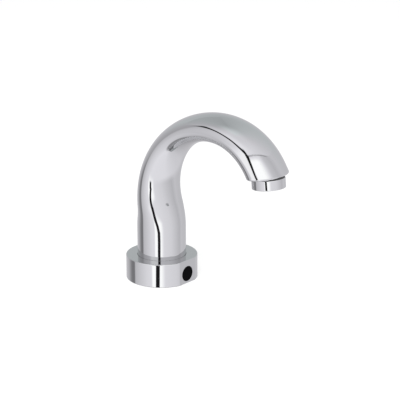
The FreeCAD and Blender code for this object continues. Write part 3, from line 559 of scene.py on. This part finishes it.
FINISHES = {
    "chrome": surface("chrome", (0.55, 0.555, 0.56), 1.0, (0.02, 0.045), 0.008, 90.0),
    "brass": surface("brass", (0.76, 0.60, 0.33), 1.0, (0.22, 0.36), 0.05, 900.0, 4e-6,
                     (1.0, 1.0, 8.0)),
    "copper": surface("copper", (0.80, 0.47, 0.32), 1.0, (0.2, 0.4), 0.08, 500.0, 4e-6,
                      (4.0, 4.0, 0.5)),
    "stainless_steel": surface("stainless_steel", (0.62, 0.63, 0.64), 1.0, (0.22, 0.38), 0.04,
                               1200.0, 3e-6, (6.0, 1.0, 1.0)),
    "rubber": surface("rubber", (0.045, 0.045, 0.047), 0.0, (0.55, 0.8), 0.2, 1500.0, 1e-5),
    "grey_plastic": surface("grey_plastic", (0.68, 0.69, 0.70), 0.0, (0.35, 0.5), 0.03, 1800.0,
                            5e-6),
    "black_plastic": surface("black_plastic", (0.04, 0.04, 0.043), 0.0, (0.35, 0.55), 0.15, 1800.0,
                             6e-6),
    "dark_window": surface("dark_window", (0.002, 0.002, 0.0025), 0.0, (0.04, 0.09), 0.2, 400.0,
                           settings={"Specular IOR Level": 0.02}),
    "circuit_board": surface("circuit_board", (0.06, 0.24, 0.12), 0.0, (0.25, 0.4), 0.25, 2500.0,
                             1e-5),
    "clear_diode": surface("clear_diode", (0.70, 0.72, 0.80), 0.0, (0.04, 0.1), 0.03, 600.0,
                           settings={"Transmission Weight": 0.5}),
    "dark_diode": surface("dark_diode", (0.045, 0.035, 0.055), 0.0, (0.04, 0.1), 0.1, 600.0),
}


def dress(piece, slot):
    """Gives a piece or a solid the finish of its slot."""
    if piece.material_slots:
        for place in piece.material_slots:
            place.material = FINISHES[slot]
    else:
        piece.data.materials.append(FINISHES[slot])


for part in frame["record"]["subparts"]:
    dress(frame["nodes"][part["node"]], part["material_slot"])

for make, node, body, slot in ((make_spout, "spout_body", "tap", "chrome"),
                               (make_ring, "base_ring", "tap", "chrome"),
                               (make_window, "sensor_window", "tap", "dark_window"),
                               (make_nozzle, "outlet_nozzle", "tap", "brass"),
                               (make_shank, "threaded_shank", "tap", "brass"),
                               (make_outlet_ring, "aerator_housing", "aerator_shell", "chrome")):
    piece = make()
    dress(piece, slot)
    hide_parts(node)
    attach(piece, body)

# ---------------------------------------------------------------- camera
CAMERA_AZIMUTH = radians(49.55)
CAMERA_ELEVATION = radians(16.98)
CAMERA_DISTANCE = 1.0
CAMERA_SHIFT = (0.03106, 0.06157)       # to the right and upward, in metres
CAMERA_CLIP = (0.01, 50.0)
FOCAL_PIXELS = 1221.3
PHOTO_PIXELS = 400.0
SENSOR_WIDTH = 36.0
TOWARDS = Vector((-sin(CAMERA_AZIMUTH) * cos(CAMERA_ELEVATION),
                  -cos(CAMERA_AZIMUTH) * cos(CAMERA_ELEVATION), sin(CAMERA_ELEVATION)))
LEVEL_TOWARDS = Vector((TOWARDS.x, TOWARDS.y, 0.0)).normalized()
RIGHT = Vector((cos(CAMERA_AZIMUTH), -sin(CAMERA_AZIMUTH), 0.0))
UPWARD = Vector((sin(CAMERA_AZIMUTH) * sin(CAMERA_ELEVATION),
                 cos(CAMERA_AZIMUTH) * sin(CAMERA_ELEVATION), cos(CAMERA_ELEVATION)))


def make_camera():
    """Camera fitted to the photo's outlines."""
    lens = bpy.data.cameras.new("camera")
    lens.sensor_width = SENSOR_WIDTH
    lens.lens = SENSOR_WIDTH * FOCAL_PIXELS / PHOTO_PIXELS
    lens.clip_start, lens.clip_end = CAMERA_CLIP
    camera = bpy.data.objects.new("camera", lens)
    camera.location = (RIGHT * CAMERA_SHIFT[0] + UPWARD * CAMERA_SHIFT[1]
                       + TOWARDS * CAMERA_DISTANCE)
    camera.rotation_mode = "QUATERNION"
    camera.rotation_quaternion = (-TOWARDS).to_track_quat("-Z", "Y")
    bpy.context.scene.collection.objects.link(camera)
    bpy.context.scene.camera = camera


make_camera()

# ---------------------------------------------------------------- light tent
# A made-up studio. Its tones and the courses of its edges were set after measuring what the photo's
# chrome mirrors in each direction.
TENT_STRENGTH = 1.63            # makes up for the light that chrome takes
# Levels of the tent's parts, from 0 for black to 1 for white, before that strength.
PANEL_GLOW = 0.94
BRIGHT_EDGE = 1.08
SHADED_END = 0.19
SHEET_SHADOW = 0.26
OPENING_DARK = 0.012
UNDER_EDGE = 0.74
ROOF_MIDDLE = 0.65
OTHER_LIGHT = 0.85              # what matt pieces get from all round
DEGREES = 180.0 / pi
WHITE = (1.0, 1.0, 1.0)


class Tent(Graph):
    """Light that follows the turn and the rise of a direction, both in degrees.

    Turn is 0 on the camera's side and grows to its right; rise is 0 at the horizon.
    """

    def __init__(self, tree):
        super().__init__(tree)
        self.direction = self.add("ShaderNodeTexCoord").outputs["Generated"]
        aside, ahead = self.dot(RIGHT), self.dot(LEVEL_TOWARDS)
        self.turn = self.times(self.math("ARCTAN2", aside, ahead), DEGREES)
        self.rise = self.times(self.math("ARCSINE", self.dot((0.0, 0.0, 1.0))), DEGREES)

    def dot(self, vector):
        return self.add("ShaderNodeVectorMath", {0: self.direction, 1: vector},
                        operation="DOT_PRODUCT").outputs["Value"]

    def follow(self, angle, low, high, stops, scale):
        """Number that follows an angle between two limits; the ramp itself holds value / scale."""
        place = self.remap(angle, low, high, 0.0, 1.0)
        shades = [((stop - low) / (high - low), (value / scale,) * 3) for stop, value in stops]
        shade = self.ramp(place, shades)
        return shade if scale == 1.0 else self.times(shade, scale)

    def by_turn(self, stops, scale=1.0):
        """Number that follows the compass direction, from (degrees, value) stops."""
        return self.follow(self.turn, -180.0, 180.0, stops, scale)

    def by_rise(self, low, high, stops, scale=1.0):
        """Number that follows the elevation between two limits."""
        return self.follow(self.rise, low, high, stops, scale)

    def blend(self, factor, a, b):
        """Number between two numbers."""
        return self.add("ShaderNodeMix", {0: factor, 2: a, 3: b}, data_type="FLOAT").outputs[0]

    def between(self, value, low, high, soft_low, soft_high):
        """Soft mask, one between two limits."""
        rising = self.remap(value, low - soft_low, low + soft_low, 0.0, 1.0, True)
        falling = self.remap(value, high - soft_high, high + soft_high, 1.0, 0.0, True)
        return self.times(rising, falling)

    def patch(self, level, turns, rises, value):
        """Soft-edged bright or dark area laid over the tent."""
        mask = self.times(self.between(self.turn, *turns), self.between(self.rise, *rises))
        return self.blend(mask, value, level)


def draw_walls(tent):
    """Cloth walls over the floor sheet, the panels' glows and the left panel's shaded end."""
    walls = tent.by_turn([(-180, 0.40), (-150, 0.46), (-100, 0.37), (-91, 0.52), (-45, 0.74),
                          (-20, 0.80), (48, 0.69), (94, 0.50), (110, 0.57), (180, 0.40)])
    sheet = tent.by_turn([(-180, 0.34), (-130, 0.34), (-100, 0.55), (-15, 0.80), (70, 0.775),
                          (140, 0.60), (180, 0.36)])
    leaning = tent.math("SUBTRACT", tent.turn, tent.times(tent.rise, 0.75))
    glow = tent.times(tent.between(leaning, -66, 20, 8, 8), tent.between(tent.turn, -90, -18, 2, 2),
                      tent.between(tent.rise, -8, 90, 5, 1))
    walls = tent.blend(glow, walls, PANEL_GLOW)
    walls = tent.patch(BRIGHT_EDGE, (-12, 56, 6, 22), (22, 90, 3, 1), walls)
    walls = tent.patch(BRIGHT_EDGE, (-30, 6, 3, 9), (-60, -5, 1, 5), walls)
    value = tent.blend(tent.remap(tent.rise, -36.0, -22.0, 0.0, 1.0, True), sheet, walls)
    return tent.patch(SHADED_END, (-120, -96, 14, 2.5), (-31, -9, 3, 5), value)


def draw_shadow(tent, value):
    """The tap's own shadow on the sheet, seen from under the arch."""
    under = RIGHT * -0.20 + LEVEL_TOWARDS * -0.12 + Vector((0.0, 0.0, -0.972))
    off = tent.times(tent.math("ARCCOSINE", tent.dot(under)), DEGREES)
    return tent.blend(tent.remap(off, 13.0, 20.0, 1.0, 0.0, True), value, SHEET_SHADOW)


def draw_opening(tent, value):
    """Opening between the panels, dark inside; the flag is its upper part."""
    middle = tent.by_rise(-30.0, 10.0, [(-30, -13.0), (-21, -12.0), (-19, -10.0), (-16, -13.5),
                                        (-10, -20.25), (-5, -22.7), (10, -22.7)], -90.0)
    across = tent.math("SUBTRACT", tent.turn, middle)
    from_waist = tent.math("ABSOLUTE", tent.math("ADD", tent.rise, 9.5))
    across = tent.times(across, tent.remap(from_waist, 1.5, 6.5, 0.86, 1.0))
    slit = tent.times(tent.between(across, -6.3, 6.3, 0.8, 0.8),
                      tent.between(tent.rise, -27.5, 5.0, 1.5, 1.5))
    return tent.blend(slit, value, OPENING_DARK)


def draw_roof(tent, value):
    """Roof above the panels, whose top edges are deep on the left and thin on the right."""
    roof = tent.by_turn([(-180, 0.36), (-120, 0.44), (-60, 0.76), (-10, 0.83), (90, 0.66),
                         (180, 0.38)])
    edge = tent.by_turn([(-125, 32.4), (-100, 42.0), (-80, 47.0), (-50, 50.85), (-10, 48.6),
                         (0, 51.0), (10, 54.3), (32, 58.2), (53, 57.6), (70, 54.8), (83, 50.7),
                         (98, 42.5), (130, 27.0)], 90.0)
    above = tent.math("SUBTRACT", tent.rise, edge)
    under_edge = tent.times(tent.remap(above, -10.0, -1.0, 0.0, 1.0, True),
                            tent.between(tent.turn, -8, 65, 3, 15))
    value = tent.blend(under_edge, value, UNDER_EDGE)
    roof = tent.blend(tent.remap(tent.rise, 62.0, 86.0, 0.0, 1.0, True), roof, ROOF_MIDDLE)
    value = tent.blend(tent.remap(above, -1.0, 1.0, 0.0, 1.0, True), value, roof)
    shade = tent.by_turn([(-108, 0.0), (-99, 1.0), (-10, 1.0), (-4, 0.45), (40, 0.35), (92, 0.45),
                          (102, 0.0)])
    reach = tent.by_turn([(-104, 9.5), (-80, 6.5), (-60, 6.8), (-25, 7.6), (-18, 9.0), (-13, 12.0),
                          (-9, 12.0), (-4, 2.0), (30, 1.5), (100, 1.5)], 10.0)
    near = tent.math("DIVIDE", tent.math("ABSOLUTE", above), reach)
    line = tent.times(tent.remap(near, 0.35, 1.0, 1.0, 0.0, True), shade)
    return tent.times(value, tent.math("SUBTRACT", 1.0, line))


def tint_light(tent, value):
    """Faint green at the back, faint violet elsewhere, white where it is bright."""
    behind = tent.times(tent.remap(tent.math("ABSOLUTE", tent.turn), 115.0, 150.0, 0.0, 1.0),
                        tent.remap(tent.rise, 8.0, 18.0, 0.0, 1.0))
    hue = tent.mix(behind, (1.0, 0.985, 1.03), (0.965, 1.01, 1.03))
    hue = tent.mix(tent.remap(value, 0.80, 1.0, 0.0, 1.0), hue, WHITE)
    return tent.add("ShaderNodeVectorMath", {0: hue, "Scale": tent.times(value, TENT_STRENGTH)},
                    operation="SCALE").outputs[0]


def make_tent():
    """World: reflections see the tent, the camera sees white, all else a plain level."""
    world = bpy.data.worlds.new("tent")
    bpy.context.scene.world = world
    world.use_nodes = True
    tent = Tent(world.node_tree)
    value = draw_walls(tent)
    value = draw_shadow(tent, value)
    value = draw_opening(tent, value)
    value = draw_roof(tent, value)
    rays = tent.add("ShaderNodeLightPath").outputs
    seen = tent.mix(rays["Is Glossy Ray"], (OTHER_LIGHT,) * 3, tint_light(tent, value))
    direct = tent.math("MAXIMUM", rays["Is Camera Ray"], rays["Is Transmission Ray"])
    seen = tent.mix(direct, seen, WHITE)
    background = tent.add("ShaderNodeBackground", {"Color": seen, "Strength": 1.0})
    tent.add("ShaderNodeOutputWorld", {"Surface": background.outputs["Background"]})


make_tent()

# ---------------------------------------------------------------- flag over the opening
FLAG_DISTANCE = 0.48
FLAG_LIGHT = (0.02, 0.02, 0.02, 1.0)
FLAG_ROWS = [(0.12, -14.8, -3.4), (0.22, -15.8, -4.3), (0.42, -11.0, 1.4), (0.50, -11.0, 3.7),
             (0.60, -9.0, 6.5)]         # height, left, right


def make_flag():
    """Dark upright card, its sides in degrees from the camera; only reflections see it."""
    points = []
    for up, *sides in FLAG_ROWS:
        for angle in sides:
            spread = RIGHT * sin(radians(angle)) + LEVEL_TOWARDS * cos(radians(angle))
            points.append(spread * FLAG_DISTANCE + Vector((0.0, 0.0, up)))
    faces = [(2 * k, 2 * k + 1, 2 * k + 3, 2 * k + 2) for k in range(len(FLAG_ROWS) - 1)]
    mesh = bpy.data.meshes.new("far_flag")
    mesh.from_pydata(points, [], faces)
    card = bpy.data.objects.new("far_flag", mesh)
    bpy.context.scene.collection.objects.link(card)
    cloth = bpy.data.materials.new("far_flag")
    cloth.use_nodes = True
    graph = Graph(cloth.node_tree)
    light = graph.add("ShaderNodeEmission", {"Color": FLAG_LIGHT, "Strength": 1.0})
    graph.add("ShaderNodeOutputMaterial", {"Surface": light.outputs[0]})
    mesh.materials.append(cloth)
    card.visible_camera = False
    card.visible_diffuse = False
    card.visible_transmission = False
    card.visible_shadow = False


make_flag()

# ---------------------------------------------------------------- floor and soft lamp
FLOOR_REACH = 3.0
FLOOR_LEVEL = -2e-5             # just clear of the deck plane
FLOOR_COLOUR = (0.9, 0.9, 0.9, 1.0)
FLOOR_GLOW = 1.20
FLOOR_GLOW_SHARE = 0.5          # the other half is matt and keeps the tap's shadow
LAMP_PLACE = Vector((-0.7, -0.5, 1.1))
LAMP_TARGET = Vector((0.0, -0.03, 0.05))
LAMP_WIDTH = 0.9
LAMP_POWER = 9.0


def make_floor():
    """Plain pale floor: the camera sees it almost white, and reflections look through it."""
    mesh = bpy.data.meshes.new("floor")
    mesh.from_pydata([(x * FLOOR_REACH, y * FLOOR_REACH, FLOOR_LEVEL)
                      for x, y in ((-1, -1), (1, -1), (1, 1), (-1, 1))], [], [(0, 1, 2, 3)])
    floor = bpy.data.objects.new("floor", mesh)
    bpy.context.scene.collection.objects.link(floor)
    paint = bpy.data.materials.new("floor")
    paint.use_nodes = True
    graph = Graph(paint.node_tree)
    rays = graph.add("ShaderNodeLightPath").outputs
    matt = graph.add("ShaderNodeBsdfDiffuse", {"Color": FLOOR_COLOUR}).outputs[0]
    glow = graph.add("ShaderNodeEmission", {"Color": (*WHITE, 1.0), "Strength": FLOOR_GLOW})
    clear = graph.add("ShaderNodeBsdfTransparent").outputs[0]
    soft = graph.mix_shaders(FLOOR_GLOW_SHARE, matt, glow.outputs[0])
    seen = graph.mix_shaders(rays["Is Camera Ray"], matt, soft)
    seen = graph.mix_shaders(rays["Is Glossy Ray"], seen, clear)
    graph.add("ShaderNodeOutputMaterial", {"Surface": seen})
    mesh.materials.append(paint)


def make_lamp():
    """Soft lamp high up on the camera's side; reflections don't see it."""
    light = bpy.data.lights.new("soft_lamp", "AREA")
    light.shape = "DISK"
    light.size = LAMP_WIDTH
    light.energy = LAMP_POWER
    lamp = bpy.data.objects.new("soft_lamp", light)
    lamp.location = LAMP_PLACE
    lamp.rotation_mode = "QUATERNION"
    lamp.rotation_quaternion = (LAMP_TARGET - LAMP_PLACE).to_track_quat("-Z", "Y")
    lamp.visible_glossy = False
    bpy.context.scene.collection.objects.link(lamp)


make_floor()
make_lamp()

bpy.context.scene.view_settings.view_transform = "Standard"
